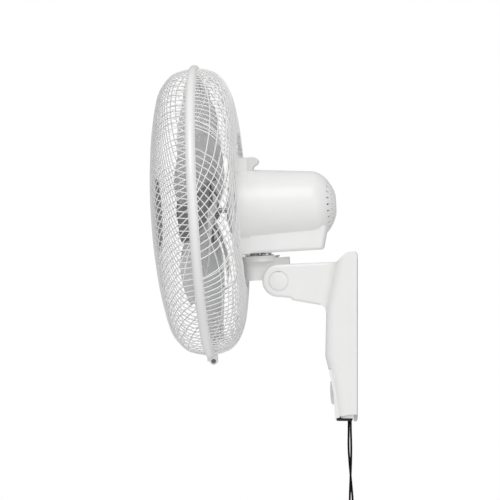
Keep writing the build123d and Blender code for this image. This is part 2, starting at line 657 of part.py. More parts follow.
def carrying_lip():
    """Hooked rear end of the lip, its flanks drawn in below so that a hand closes round it."""
    seam, top = COVER_SEAM, LIP_TOP
    edges = [Polyline((seam + 15.0, 40.0), (seam, 40.0), (seam, top), (seam + 8.4, top + 0.5)),
             ThreePointArc((seam + 8.4, top + 0.5), (seam + 13.6, top - 2.0), (seam + 16.0, top - 6.0)),
             ThreePointArc((seam + 16.0, top - 6.0), (seam + 14.4, top - 9.8), (seam + 10.8, top - 12.2)),
             ThreePointArc((seam + 10.8, top - 12.2), (seam + 8.2, top - 15.0), (seam + 7.4, top - 18.6)),
             Line((seam + 7.4, top - 18.6), (seam + 15.0, 40.0))]
    hook = Pos(-LIP_HALF, 0, 0) * extrude(Plane.YZ * make_face(edges), amount=2 * LIP_HALF)
    hook -= dome_profile(-RUN)
    for side in (-1, 1):
        flank = Pos(side * LIP_HALF, seam + 15, top - 1.5) * Rot(0, side * 30, 0) * Pos(side * 20, 0, -20)
        hook -= flank * Box(40, 30, 60)
    return hook


def front_cover():
    r, half, drop = covers_section(0)
    outer = cyl_y(r, COVER_FRONT, COVER_SEAM) + block(-half, half, COVER_FRONT, COVER_SEAM, -drop, -30)
    outer += block(-LIP_HALF, LIP_HALF, COVER_FRONT + 4, COVER_SEAM, 40, LIP_TOP)
    rim = [e for e in outer.edges() if abs(e.center().Y - COVER_FRONT) < 0.01]
    outer = fillet(rim, 3.0)
    r, half, drop = covers_section(COVER_WALL)
    inner = cyl_y(r, COVER_FRONT + COVER_WALL, 0) + block(-half, half, COVER_FRONT + COVER_WALL, 0, -drop, -30)
    cover = outer - inner
    cover += carrying_lip()
    cover -= cyl_y(SHOULDER_R + 0.3, -80, -30)
    cover -= cyl_z(POST_TOP_R + 0.8, -BOX_DROP - 5, -BOX_DROP + 5, 0, SWIVEL_Y)
    return on_axis(cover)


def dome_profile(wall):
    """Half outline of the rear cover: a slow taper and a round end."""
    r0, r1 = HOUSING_R - wall, HOUSING_REAR_R - wall
    y1, y2 = HOUSING_REAR - wall * 0.3, DOME_END - wall
    taper = (r1 - r0) / (y1 - COVER_SEAM)
    start = (r1, y1)
    curve = Spline(start, (r1 - 5.0, y1 + 13.6 - wall * 0.2), (r1 - 14.4, y1 + 23.6 - wall * 0.4),
                   (r1 - 32.4, y2 - 1.2), (0, y2), tangents=((taper, 1), (-1, 0)))
    edges = [Line((0, COVER_SEAM), (r0, COVER_SEAM)), Line((r0, COVER_SEAM), start), curve,
             Line((0, y2), (0, COVER_SEAM))]
    return revolve(make_face(edges), axis=Axis.Y)


def motor_box(wall):
    """Box below the motor: it narrows to the rear and its rear face leans forward."""
    front, rear = COVER_SEAM - wall / 2, BOX_REAR - wall
    half, rear_half = BOX_HALF - wall, BOX_REAR_HALF - wall

    def outline(end, z):
        corners = [(-half, front), (half, front), (rear_half, end), (-rear_half, end)]
        return Pos(0, 0, z) * make_face(Polyline(*corners, close=True))

    box = loft([outline(rear - BOX_SLANT, -BOX_DROP + wall), outline(rear, -30)], ruled=True)
    corners = [e for e in box.edges() if e.center().Y > BOX_REAR - BOX_SLANT - 5 and abs(e.tangent_at(0.5).Z) > 0.9]
    box = fillet(corners, BOX_CORNER - wall)
    low = [e for e in box.faces().sort_by(Axis.Z)[0].edges() if e.center().Y > COVER_SEAM + 1]
    return fillet(low, BOX_EDGE - wall)


def rear_cover():
    body = dome_profile(0) + motor_box(0)
    body -= dome_profile(COVER_WALL) + motor_box(COVER_WALL)
    slots = []
    for r_in, r_out in VENT_RINGS:
        for i in range(VENT_COUNT):
            slot = block(r_in, r_out, 60, 100, -VENT_W / 2, VENT_W / 2)
            slots.append(Rot(0, i * 360 / VENT_COUNT, 0) * slot)
    body -= slots
    body -= cyl_z(CRANK_SHAFT_R + 0.5, -BOX_DROP - 5, -BOX_DROP + 5, 0, SWIVEL_Y + CRANK_BACK)
    body -= cyl_z(POST_TOP_R + 0.8, -BOX_DROP - 5, -BOX_DROP + 5, 0, SWIVEL_Y)
    body += cyl_y(7.5, DOME_END - 8, DOME_END - 1)
    body -= cyl_y(2.4, 60, 100)
    body -= cyl_y(4.8, DOME_END - 2.6, 100)
    return on_axis(body)


def cover_screw():
    shank = cyl_y(2.0, 50, DOME_END - 2.6)
    return on_axis(shank + cyl_y(4.2, DOME_END - 2.6, DOME_END - 0.6))


# ---------------------------------------------------------------- grille
def shifted(dome, step, sign):
    """The dome's corners moved inwards by one layer of wires; its ends stay square to the rims."""
    out = []
    for i, (r, a) in enumerate(dome):
        dr = 0.0 if i == len(dome) - 1 else step
        da = 0.0 if i == 0 else step * sign
        out.append((r - dr, a - da))
    return out


def lengths_of(wire, angle):
    """A long arched strip as four lengths that meet end to end; a short one whole."""
    if wire.bounding_box().diagonal < LONG_STRIP:
        return [wire]
    ends = (-FAR, -STRIP_CUT, 0.0, STRIP_CUT, FAR)
    lengths = []
    for near, far in zip(ends[:-1], ends[1:]):
        window = Rot(0, angle, 0) * block(near, far, -FAR, FAR, -FAR, FAR)
        lengths += [s for s in (wire & window).solids() if s.volume > 20]
    return lengths


def wire_layer(dome, sign, layer, angle):
    """One family of parallel wires in one layer of the dome, cut at the shoulder."""
    outer = shifted(dome, layer * WIRE_T, sign)
    inner = shifted(dome, (layer + 1) * WIRE_T, sign)
    wires = []
    shoulder = 3
    for part in (slice(0, shoulder + 1), slice(shoulder, len(dome))):
        shell = turned(outer[part] + inner[part][::-1])
        count = int((GRILLE_R - RIM_T) / WIRE_PITCH)
        for i in range(-count, count + 1):
            offset_c = i * WIRE_PITCH
            plate = Rot(0, angle, 0) * (Pos(0, 0, offset_c) * Box(3 * GRILLE_R, FAR, WIRE_W))
            piece = shell & plate
            wires += [s for s in piece.solids() if s.volume > 20]
    return wires


def grille_rim(sign):
    """Flat hoop that ends a grille at the ring plane."""
    near, far = sign * RIM_GAP, sign * RIM_DEPTH
    return turned([(GRILLE_R, far), (GRILLE_R, near), (GRILLE_R - RIM_T, near), (GRILLE_R - RIM_T, far)])


def front_grille():
    wires = wire_layer(FRONT_DOME, -1, 0, FRONT_ANGLES[0]) + wire_layer(FRONT_DOME, -1, 1, FRONT_ANGLES[1])
    return [on_axis(Pos(0, RING_Y, 0) * s) for s in grille_rim(-1).solids() + wires]


def rear_grille():
    edge_r, edge_a = REAR_DOME[-1]
    face = DISH_FLOOR - DISH_WALL
    dish = turned([(edge_r, edge_a), (DISH_R, edge_a), (DISH_R - 2, DISH_FLOOR), (BOSS_R + 0.2, DISH_FLOOR),
                   (BOSS_R + 0.2, face), (DISH_R - 0.8, face), (edge_r, edge_a - 2 * WIRE_T - 0.2)])
    wires = []
    for layer, angle in enumerate(REAR_ANGLES):
        for wire in wire_layer(REAR_DOME, 1, layer, angle):
            wires += lengths_of(wire, angle)
    return [on_axis(Pos(0, RING_Y, 0) * s) for s in grille_rim(1).solids() + dish.solids() + wires]


def grille_band():
    arc = ThreePointArc((GRILLE_R, -BAND_HALF), (BAND_R, 0), (GRILLE_R, BAND_HALF))
    face = make_face([arc, Line((GRILLE_R, BAND_HALF), (GRILLE_R, -BAND_HALF))])
    band = revolve(face, axis=Axis.Y)
    lugs = cyl_x(LUG_BOSS_R, -LUG_HALF, LUG_HALF, LUG_A, -LUG_R)
    lugs += block(-LUG_HALF, LUG_HALF, -BAND_HALF + 1, LUG_A + LUG_BOSS_R, -LUG_R, -GRILLE_R + 2)
    lugs -= cyl_y(GRILLE_R, -20, 20)
    band += lugs
    band -= block(-CLAMP_SLIT, CLAMP_SLIT, -20, 20, -LUG_R - 10, -GRILLE_R + 5)
    band -= cyl_x(CLAMP_SCREW_R + RUN, -20, 20, LUG_A, -LUG_R)
    band -= cyl_x(CLAMP_HEAD_R + 0.6, LUG_HALF - HEAD_SEAT, 20, LUG_A, -LUG_R)
    return on_axis(Pos(0, RING_Y, 0) * band)


def band_screw():
    """Clamp screw with a slotted head sunk in the lug."""
    seat = LUG_HALF - HEAD_SEAT
    screw = cyl_x(CLAMP_SCREW_R, -LUG_HALF, seat, LUG_A, -LUG_R)
    screw += cyl_x(CLAMP_HEAD_R, seat, seat + CLAMP_HEAD_T, LUG_A, -LUG_R)
    screw -= block(seat + CLAMP_HEAD_T - 0.6, 20, LUG_A - 3.2, LUG_A + 3.2, -LUG_R - 0.4, -LUG_R + 0.4)
    return on_axis(Pos(0, RING_Y, 0) * screw)


def band_nut():
    hexagon = Rot(0, 90, 0) * extrude(RegularPolygon(3.8, 6), amount=2.5)
    nut = Pos(-LUG_HALF - 2.5, LUG_A, -LUG_R) * hexagon
    nut -= cyl_x(CLAMP_SCREW_R, -20, 20, LUG_A, -LUG_R)
    return on_axis(Pos(0, RING_Y, 0) * nut)


def centre_badge():
    """Small crowned cap outside the wires."""
    back = FRONT_DOME[-1][1] + 0.6
    plate = turned([(0, back - 3.6), (10, back - 3.4), (18, back - 2.8), (BADGE_R, back - 1.6), (BADGE_R, back),
                    (0, back)])
    return on_axis(Pos(0, RING_Y, 0) * plate)


def centre_backing():
    """Disc inside the wires that carries their inner ends and the badge."""
    edge = FRONT_DOME[-1][1]
    disc = turned([(0, edge + 0.6), (30, edge + 0.6), (BACKING_R, edge + 0.2), (BACKING_R, edge + 6.6),
                   (BACKING_R - 2.2, edge + 6.6), (BACKING_R - 2.2, edge + 3.0), (0, edge + 3.0)])
    return on_axis(Pos(0, RING_Y, 0) * disc)


def grille_nut():
    high = SHOULDER_Y - DISH_WALL
    low = high - 9.0
    nut = ring_y(34, BOSS_R + RUN, low, high)
    for i in range(8):
        angle = radians(45 * i)
        nut -= cyl_y(4.0, low - 1, high - 2, 35 * cos(angle), 35 * sin(angle))
    return on_axis(nut)


# ---------------------------------------------------------------- rotor
def motor_shaft():
    shaft = cyl_y(SHAFT_R, RING_Y + SHAFT_FRONT, 47.5)
    return on_axis(shaft - cyl_x(1.25, -10, 10, RING_Y + HUB_BOSS_REAR - 3, 0))


def rotor_core():
    core = ring_y(ROTOR_R, SHAFT_R, STATOR_FRONT, STATOR_REAR)
    core += ring_y(ROTOR_R - 1, SHAFT_R + 5, STATOR_FRONT - 5, STATOR_REAR + 5)
    return on_axis(core)


def drive_pin():
    return on_axis(cyl_x(1.25, -9, 9, RING_Y + HUB_BOSS_REAR - 3, 0))


def blade_section(r, chord, pitch, a_mid, sweep):
    """Thin curved section of a blade at radius r, as a face square to the radius."""
    lead, camber = radians(pitch), 0.075 * chord
    half_t = BLADE_T / 2

    def place(s, h):
        t = sweep + s * cos(lead) + h * sin(lead)
        return (t, a_mid - s * sin(lead) + h * cos(lead), r)

    def line(shift):
        return [place(s * chord / 2, camber * (1 - s * s) + shift) for s in (-1.0, 0.0, 1.0)]

    low, high = line(-half_t), line(half_t)
    edges = [ThreePointArc(*low), Line(low[2], high[2]), ThreePointArc(high[2], high[1], high[0]),
             Line(high[0], low[0])]
    return make_face(edges)


def fan_blade():
    faces = [blade_section(*section) for section in BLADE_SECTIONS]
    vane = loft(faces) & cyl_y(BLADE_TIP_R, -80, 80)
    hub = cyl_y(HUB_R, HUB_FRONT, HUB_REAR)
    hub = fillet(hub.edges().sort_by(Axis.Y)[0], HUB_ROUND)
    inside = cyl_y(HUB_R - 3, HUB_FRONT + 3, HUB_REAR + 1)
    hub -= fillet(inside.edges().sort_by(Axis.Y)[0], HUB_ROUND - 3)
    hub += cyl_y(HUB_BOSS_R, HUB_FRONT, HUB_BOSS_REAR)
    for i in range(BLADE_COUNT):
        blade = Rot(0, BLADE_PHASE + i * 360 / BLADE_COUNT, 0) * vane
        hub += blade - cyl_y(HUB_R - 1, -80, 80)
    hub -= cyl_y(SHAFT_R, -60, 60)
    hub -= cyl_x(1.25, -9, 9, HUB_BOSS_REAR - 3, 0)
    hub -= block(-9, 9, HUB_BOSS_REAR - 3, HUB_BOSS_REAR + 1, -1.25, 1.25)
    return on_axis(Pos(0, RING_Y, 0) * hub)


def spinner_nut():
    """Low domed nut on the shaft's end."""
    tip, seat = SPINNER_FRONT, HUB_FRONT
    nut = turned([(0, tip), (SPINNER_R * 0.5, tip + 0.4), (SPINNER_R * 0.85, tip + 1.6), (SPINNER_R, seat - 0.8),
                  (SPINNER_R, seat), (0, seat)])
    nut -= cyl_y(SHAFT_R, SHAFT_FRONT, 0)
    return on_axis(Pos(0, RING_Y, 0) * nut)


# ---------------------------------------------------------------- pull cords
def cord_tube(name, x, route):
    """A round cord along straight runs joined by arcs as large as the runs allow."""
    points = [Vector(x, y, z) for y, z in route]
    radii = []
    for a, b, c in zip(points, points[1:], points[2:]):
        turn = (b - a).get_angle(c - b)
        radii.append(0.45 * min((b - a).length, (c - b).length) / tan(radians(turn) / 2))
    print(name, "bend radii", [round(r) for r in radii])
    path = FilletPolyline(*points, radius=radii)
    section = Plane(origin=points[0], z_dir=points[1] - points[0]) * Circle(CORD_R)
    tube = sweep(section, path=path)
    length = sum(e.length for e in path.edges())
    print(name, "length", round(length, 1), "volume ratio", round(tube.volume / (pi * CORD_R ** 2 * length), 4))
    return tube


def pull_knob(x, route):
    """Bell-shaped pull on the end of a cord."""
    y, top = route[-1]
    bell = revolve(make_face(Polyline((0, 0), (2.4, 0), (3.2, -2.5), (3.8, -7.0), (5.2, -13.0), (KNOB_R, -20.0),
                                      (KNOB_R, -KNOB_H + 2), (KNOB_R - 1.6, -KNOB_H), (0, -KNOB_H), close=True)),
                   axis=Axis.Y)
    return Pos(x, y, top) * Rot(90, 0, 0) * bell


# ---------------------------------------------------------------- write every sub-part
save("wall_plate", wall_plate())
save("bracket_back", bracket_back())
save("bracket_shell", bracket_shell())
save("control_panel", control_panel())
save("indicator_lens", lens_body(0))
save("bracket_base", bracket_base())
save("cord_plate", cord_plate())
save("cable_bush", cable_bush())
save("speed_switch", pull_switch(CORD_X))
save("swing_switch", pull_switch(-CORD_X))
save("terminal_block", terminal_block())
save("shell_screws", group(shell_screws()))
save("tilt_bolt", tilt_bolt())
save("tilt_nut", tilt_nut())
save("tilt_caps", group(tilt_caps()))

save("neck_block", head(neck_block()))
save("swivel_disc", head(swivel_disc()))
save("swivel_bush", head(swivel_bush()))
save("swing_arm", head(swing_arm()))
save("swing_arm_screws", head(group(swing_arm_screws())))

save("swivel_post", head(swivel_post()))
save("post_clip", head(post_clip()))
save("swing_motor", head(swing_motor()))
save("swing_crank", head(swing_crank()))
save("front_bell", head(front_bell()))
save("rear_bell", head(rear_bell()))
save("motor_studs", head(group(motor_studs())))
save("stator_core", head(stator_core()))
save("stator_windings", head(group(windings())))
save("bearings", head(group(bearings())))
save("run_capacitor", head(run_capacitor()))
save("front_cover", head(front_cover()))
save("rear_cover", head(rear_cover()))
save("cover_screw", head(cover_screw()))
save("front_grille", head(group(front_grille())))
save("rear_grille", head(group(rear_grille())))
save("grille_band", head(grille_band()))
save("band_screw", head(band_screw()))
save("band_nut", head(band_nut()))
save("centre_badge", head(centre_badge()))
save("centre_backing", head(centre_backing()))
save("grille_nut", head(grille_nut()))

save("motor_shaft", head(motor_shaft()))
save("rotor_core", head(rotor_core()))
save("drive_pin", head(drive_pin()))
save("fan_blade", head(fan_blade()))
save("spinner_nut", head(spinner_nut()))

save("speed_cord", cord_tube("speed_cord", CORD_X, SPEED_ROUTE))
save("swing_cord", cord_tube("swing_cord", -CORD_X, SWING_ROUTE))
save("speed_knob", pull_knob(CORD_X, SPEED_ROUTE))
save("swing_knob", pull_knob(-CORD_X, SWING_ROUTE))
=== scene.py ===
"""Wall mounted fan with a fine wire guard, a motor housing, a short arm and two pull cords."""
import json
import math
import bmesh
import bpy
import numpy as np
from mathutils import Matrix, Vector


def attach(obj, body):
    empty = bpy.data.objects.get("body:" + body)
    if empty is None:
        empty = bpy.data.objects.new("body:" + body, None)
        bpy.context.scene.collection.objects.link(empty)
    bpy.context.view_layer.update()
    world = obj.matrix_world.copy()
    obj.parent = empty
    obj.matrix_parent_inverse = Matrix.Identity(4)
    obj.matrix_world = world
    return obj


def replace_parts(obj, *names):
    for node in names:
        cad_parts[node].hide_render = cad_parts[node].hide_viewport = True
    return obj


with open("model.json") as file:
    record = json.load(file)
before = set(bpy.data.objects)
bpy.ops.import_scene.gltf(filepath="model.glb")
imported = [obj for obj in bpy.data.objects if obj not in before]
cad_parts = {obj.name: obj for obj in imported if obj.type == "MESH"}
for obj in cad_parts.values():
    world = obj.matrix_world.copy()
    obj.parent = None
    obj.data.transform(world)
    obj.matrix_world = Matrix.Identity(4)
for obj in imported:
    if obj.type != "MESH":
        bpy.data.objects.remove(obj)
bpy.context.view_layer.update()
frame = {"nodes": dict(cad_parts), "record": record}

# ---------------------------------------------------------------- frames, for pieces drawn in millimetres
MM = Matrix.Scale(0.001, 4)
TILT = math.radians(3.3)
HEAD = Matrix.Translation((0, -0.113, 0.0803)) @ Matrix.Rotation(TILT, 4, "X")
RING = HEAD @ Matrix.Translation((0, -0.1049, 0.106)) @ MM

# ---------------------------------------------------------------- camera
TARGET = Vector((0.0, -0.1556, 0.1247))
AZIMUTH = math.radians(3.0)
DISTANCE = 4.0
camera_data = bpy.data.cameras.new("camera")
camera_data.lens = 198.5
camera_data.sensor_width = 36.0
camera_data.clip_end = 50
camera = bpy.data.objects.new("camera", camera_data)
bpy.context.scene.collection.objects.link(camera)
back = Vector((math.cos(AZIMUTH), math.sin(AZIMUTH), 0.0))
camera.location = TARGET + back * DISTANCE
camera.rotation_mode = "QUATERNION"
camera.rotation_quaternion = (-back).to_track_quat("-Z", "Y")
bpy.context.scene.camera = camera


# ---------------------------------------------------------------- materials
def shader(name, colour, rough=0.45, metal=0.0, coat=0.0, specular=0.5):
    """A material, its tree and its shader, with the constants on the shader's own sockets."""
    mat = bpy.data.materials.new(name)
    mat.use_nodes = True
    tree = mat.node_tree
    bsdf = tree.nodes["Principled BSDF"]
    bsdf.inputs["Base Color"].default_value = (*colour, 1)
    bsdf.inputs["Roughness"].default_value = rough
    bsdf.inputs["Metallic"].default_value = metal
    bsdf.inputs["Coat Weight"].default_value = coat
    bsdf.inputs["Coat Roughness"].default_value = 0.2
    bsdf.inputs["Specular IOR Level"].default_value = specular
    return mat, tree, bsdf


def coordinates(tree, scale=(1, 1, 1)):
    """Object coordinates in metres, stretched by scale."""
    where = tree.nodes.new("ShaderNodeTexCoord")
    mapping = tree.nodes.new("ShaderNodeMapping")
    mapping.inputs["Scale"].default_value = scale
    tree.links.new(where.outputs["Object"], mapping.inputs["Vector"])
    return mapping.outputs["Vector"]


def noise(tree, vector, scale, detail=3.0, roughness=0.55):
    node = tree.nodes.new("ShaderNodeTexNoise")
    node.inputs["Scale"].default_value = scale
    node.inputs["Detail"].default_value = detail
    node.inputs["Roughness"].default_value = roughness
    tree.links.new(vector, node.inputs["Vector"])
    return node.outputs["Fac"]


def ramp(tree, value, low, high, a, b):
    """Colours a to b as value goes from low to high."""
    node = tree.nodes.new("ShaderNodeValToRGB")
    node.color_ramp.elements[0].position = low
    node.color_ramp.elements[1].position = high
    node.color_ramp.elements[0].color = (*a, 1)
    node.color_ramp.elements[1].color = (*b, 1)
    tree.links.new(value, node.inputs["Fac"])
    return node.outputs["Color"]


def span(tree, value, low, high):
    """Map a 0 to 1 value onto low to high."""
    node = tree.nodes.new("ShaderNodeMapRange")
    node.inputs["To Min"].default_value = low
    node.inputs["To Max"].default_value = high
    tree.links.new(value, node.inputs["Value"])
    return node.outputs["Result"]


def bump(tree, bsdf, height, distance, strength=1.0):
    node = tree.nodes.new("ShaderNodeBump")
    node.inputs["Distance"].default_value = distance
    node.inputs["Strength"].default_value = strength
    tree.links.new(height, node.inputs["Height"])
    tree.links.new(node.outputs["Normal"], bsdf.inputs["Normal"])


def moulded(name, colour, rough=0.4, grain=2600.0, depth=0.00004, drift=0.03, coat=0.0):
    """Moulded plastic: a fine spark grain, slow drift of colour and faint uneven gloss."""
    mat, tree, bsdf = shader(name, colour, rough, coat=coat)
    vector = coordinates(tree)
    slow = noise(tree, vector, 14.0, 4.0)
    dark = tuple(c * (1 - drift) for c in colour)
    tree.links.new(ramp(tree, slow, 0.35, 0.7, dark, colour), bsdf.inputs["Base Color"])
    gloss = span(tree, noise(tree, vector, 60.0, 5.0), rough - 0.06, rough + 0.08)
    tree.links.new(gloss, bsdf.inputs["Roughness"])
    bump(tree, bsdf, noise(tree, vector, grain, 2.0, 0.4), depth, 0.5)
    return mat


def coated_wire(name, colour):
    """Powder coat on wire: small orange peel and thin spots."""
    mat, tree, bsdf = shader(name, colour, 0.35, coat=0.15)
    vector = coordinates(tree)
    dark = tuple(c * 0.95 for c in colour)
    coat = ramp(tree, noise(tree, vector, 120.0, 3.0), 0.3, 0.75, dark, colour)
    tree.links.new(coat, bsdf.inputs["Base Color"])
    bump(tree, bsdf, noise(tree, vector, 1400.0, 2.0), 0.00003, 0.5)
    return mat


def brushed(name, colour, rough=0.35, stretch=(1, 1, 40)):
    """Metal with fine drawn lines and slightly uneven gloss."""
    mat, tree, bsdf = shader(name, colour, rough, metal=1.0)
    vector = coordinates(tree, stretch)
    lines = noise(tree, vector, 900.0, 3.0)
    tree.links.new(span(tree, lines, rough - 0.1, rough + 0.18), bsdf.inputs["Roughness"])
    dark = tuple(c * 0.86 for c in colour)
    tone = ramp(tree, noise(tree, vector, 40.0, 4.0), 0.3, 0.7, dark, colour)
    tree.links.new(tone, bsdf.inputs["Base Color"])
    bump(tree, bsdf, lines, 0.00002, 0.6)
    return mat


def cast(name, colour):
    """Die-cast metal: coarse matt skin."""
    mat, tree, bsdf = shader(name, colour, 0.55, metal=1.0)
    vector = coordinates(tree)
    skin = noise(tree, vector, 700.0, 5.0, 0.7)
    tree.links.new(span(tree, skin, 0.45, 0.7), bsdf.inputs["Roughness"])
    bump(tree, bsdf, skin, 0.0001, 0.6)
    return mat


def laminated(name, colour):
    """Stacked steel sheets: thin dark lines across the stack."""
    mat, tree, bsdf = shader(name, colour, 0.5, metal=0.8)
    vector = coordinates(tree)
    wave = tree.nodes.new("ShaderNodeTexWave")
    wave.bands_direction = "Y"
    wave.inputs["Scale"].default_value = 320.0
    wave.inputs["Distortion"].default_value = 0.4
    tree.links.new(vector, wave.inputs["Vector"])
    dark = tuple(c * 0.5 for c in colour)
    sheets = ramp(tree, wave.outputs["Fac"], 0.1, 0.5, dark, colour)
    tree.links.new(sheets, bsdf.inputs["Base Color"])
    bump(tree, bsdf, wave.outputs["Fac"], 0.00005, 0.6)
    return mat


def braided(name, colour):
    """Braided cord: two crossing sets of fine ribs, their crests painted lighter as a painted highlight."""
    mat, tree, bsdf = shader(name, colour, 0.9, specular=0.04)
    vector = coordinates(tree)
    sums = []
    for tilt in (0.7, -0.7):
        mapping = tree.nodes.new("ShaderNodeMapping")
        mapping.inputs["Rotation"].default_value = (tilt, tilt, 0)
        tree.links.new(vector, mapping.inputs["Vector"])
        wave = tree.nodes.new("ShaderNodeTexWave")
        wave.bands_direction = "Z"
        wave.inputs["Scale"].default_value = 420.0
        tree.links.new(mapping.outputs["Vector"], wave.inputs["Vector"])
        sums.append(wave.outputs["Fac"])
    mix = tree.nodes.new("ShaderNodeMath")
    mix.operation = "MAXIMUM"
    tree.links.new(sums[0], mix.inputs[0])
    tree.links.new(sums[1], mix.inputs[1])
    # painted highlight: the rib crests get a lighter colour than the black cord
    painted_crest_highlight = tuple(c * 1.6 + 0.002 for c in colour)
    tree.links.new(ramp(tree, mix.outputs[0], 0.4, 1.0, colour, painted_crest_highlight), bsdf.inputs["Base Color"])
    bump(tree, bsdf, mix.outputs[0], 0.00015, 0.5)
    return mat


def frosted(name, hub, blade, centre, axis, inner, outer):
    """Translucent plastic, darker at the hub: the colour changes with the distance from the axis."""
    mat, tree, bsdf = shader(name, blade, 0.4)
    bsdf.inputs["Transmission Weight"].default_value = 0.45
    bsdf.inputs["IOR"].default_value = 1.25
    vector = coordinates(tree)
    arm = tree.nodes.new("ShaderNodeVectorMath")
    arm.operation = "SUBTRACT"
    arm.inputs[1].default_value = centre
    tree.links.new(vector, arm.inputs[0])
    cross = tree.nodes.new("ShaderNodeVectorMath")
    cross.operation = "CROSS_PRODUCT"
    cross.inputs[1].default_value = axis
    tree.links.new(arm.outputs["Vector"], cross.inputs[0])
    reach = tree.nodes.new("ShaderNodeVectorMath")
    reach.operation = "LENGTH"
    tree.links.new(cross.outputs["Vector"], reach.inputs[0])
    share = tree.nodes.new("ShaderNodeMapRange")
    share.inputs["From Min"].default_value = inner
    share.inputs["From Max"].default_value = outer
    tree.links.new(reach.outputs["Value"], share.inputs["Value"])
    base = ramp(tree, share.outputs["Result"], 0.2, 0.8, hub, blade)
    drift = ramp(tree, noise(tree, vector, 22.0, 4.0), 0.3, 0.75, (0.94, 0.94, 0.94), (1, 1, 1))
    mix = tree.nodes.new("ShaderNodeMix")
    mix.data_type = "RGBA"
    mix.blend_type = "MULTIPLY"
    mix.inputs["Factor"].default_value = 1.0
    tree.links.new(base, mix.inputs["A"])
    tree.links.new(drift, mix.inputs["B"])
    tree.links.new(mix.outputs["Result"], bsdf.inputs["Base Color"])
    tree.links.new(span(tree, noise(tree, vector, 60.0, 5.0), 0.34, 0.48), bsdf.inputs["Roughness"])
    bump(tree, bsdf, noise(tree, vector, 1800.0, 2.0, 0.4), 0.00004, 0.5)
    return mat


def wound(name, colour):
    """Enamelled wire laid side by side."""
    mat, tree, bsdf = shader(name, colour, 0.3, metal=0.9)
    vector = coordinates(tree)
    wave = tree.nodes.new("ShaderNodeTexWave")
    wave.wave_type = "RINGS"
    wave.rings_direction = "Y"
    wave.inputs["Scale"].default_value = 240.0
    wave.inputs["Distortion"].default_value = 1.5
    tree.links.new(vector, wave.inputs["Vector"])
    dark = tuple(c * 0.45 for c in colour)
    tree.links.new(ramp(tree, wave.outputs["Fac"], 0.1, 0.8, dark, colour), bsdf.inputs["Base Color"])
    bump(tree, bsdf, wave.outputs["Fac"], 0.0003, 0.8)
    return mat


WHITE = (0.885, 0.885, 0.88)
HUB_GREY = (0.47, 0.475, 0.475)
BLADE_GREY = (0.86, 0.865, 0.865)
bpy.context.view_layer.update()
to_blade = frame["nodes"]["fan_blade"].matrix_world.inverted()
hub_centre = to_blade @ RING.translation
fan_axis = (to_blade.to_3x3() @ HEAD.to_3x3() @ Vector((0, 1, 0))).normalized()
mats = {
    "white_shell": moulded("white_shell", WHITE, 0.38, coat=0.1),
    "white_wire": coated_wire("white_wire", (0.92, 0.92, 0.915)),
    "white_band": moulded("white_band", (0.89, 0.89, 0.885), 0.3, coat=0.2, drift=0.02),
    "blade_grey": frosted("blade_grey", HUB_GREY, BLADE_GREY, hub_centre, fan_axis, 0.046, 0.050),
    "spinner_grey": moulded("spinner_grey", (0.36, 0.363, 0.363), 0.4),
    "backing_grey": moulded("backing_grey", (0.60, 0.605, 0.605), 0.45),
    "lens_grey": moulded("lens_grey", (0.80, 0.81, 0.82), 0.15, 900.0, 0.00001, coat=0.5),
    "black_plastic": moulded("black_plastic", (0.012, 0.012, 0.013), 0.45, 2200.0),
    "switch_plastic": moulded("switch_plastic", (0.05, 0.05, 0.05), 0.5),
    "cord_black": braided("cord_black", (0.006, 0.006, 0.006)),
    "steel": brushed("steel", (0.50, 0.51, 0.52), 0.32),
    "zinc_steel": brushed("zinc_steel", (0.60, 0.61, 0.63), 0.42, (1, 1, 12)),
    "dark_steel": brushed("dark_steel", (0.24, 0.24, 0.25), 0.45),
    "castings": cast("castings", (0.58, 0.59, 0.60)),
    "laminations": laminated("laminations", (0.16, 0.16, 0.18)),
    "copper": wound("copper", (0.55, 0.22, 0.08)),
    "bronze": brushed("bronze", (0.48, 0.32, 0.14), 0.4),
    "rubber_black": moulded("rubber_black", (0.014, 0.014, 0.014), 0.7, 1500.0),
}
slot_of = {p["node"]: p["material_slot"] for p in frame["record"]["subparts"]}
for node, obj in frame["nodes"].items():
    obj.data.materials.clear()
    obj.data.materials.append(mats[slot_of[node]])


# ---------------------------------------------------------------- mesh helpers
def piece(name, verts, faces, body, slot, matrix, crease):
    """A mesh of its own, smooth except at edges sharper than crease degrees, riding on a body."""
    mesh = bpy.data.meshes.new(name)
    mesh.from_pydata([tuple(map(float, v)) for v in verts], [], faces)
    work = bmesh.new()
    work.from_mesh(mesh)
    bmesh.ops.remove_doubles(work, verts=work.verts, dist=1e-4)
    bmesh.ops.recalc_face_normals(work, faces=work.faces)
    limit = math.radians(crease)
    for face in work.faces:
        face.smooth = True
    for edge in work.edges:
        edge.smooth = len(edge.link_faces) == 2 and edge.calc_face_angle(0.0) < limit
    work.to_mesh(mesh)
    work.free()
    mesh.transform(matrix)
    mesh.materials.append(mats[slot])
    obj = bpy.data.objects.new(name, mesh)
    bpy.context.scene.collection.objects.link(obj)
    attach(obj, body)
    return obj


def join(parts):
    """Join several (verts, faces) into one."""
    verts, faces = [], []
    for v, f in parts:
        base = len(verts)
        verts += [tuple(p) for p in v]
        faces += [tuple(i + base for i in face) for face in f]
    return verts, faces


def rounded(points, radius, steps=4):
    """A closed profile with its corners rounded."""
    out = []
    count = len(points)
    for i, p in enumerate(points):
        p = np.array(p, float)
        a, b = np.array(points[i - 1], float), np.array(points[(i + 1) % count], float)
        la, lb = np.linalg.norm(a - p), np.linalg.norm(b - p)
        r = min(radius, 0.45 * la, 0.45 * lb)
        s, e = p + (a - p) / la * r, p + (b - p) / lb * r
        for k in range(steps + 1):
            t = k / steps
            out.append(tuple((1 - t) ** 2 * s + 2 * t * (1 - t) * p + t * t * e))
    return out


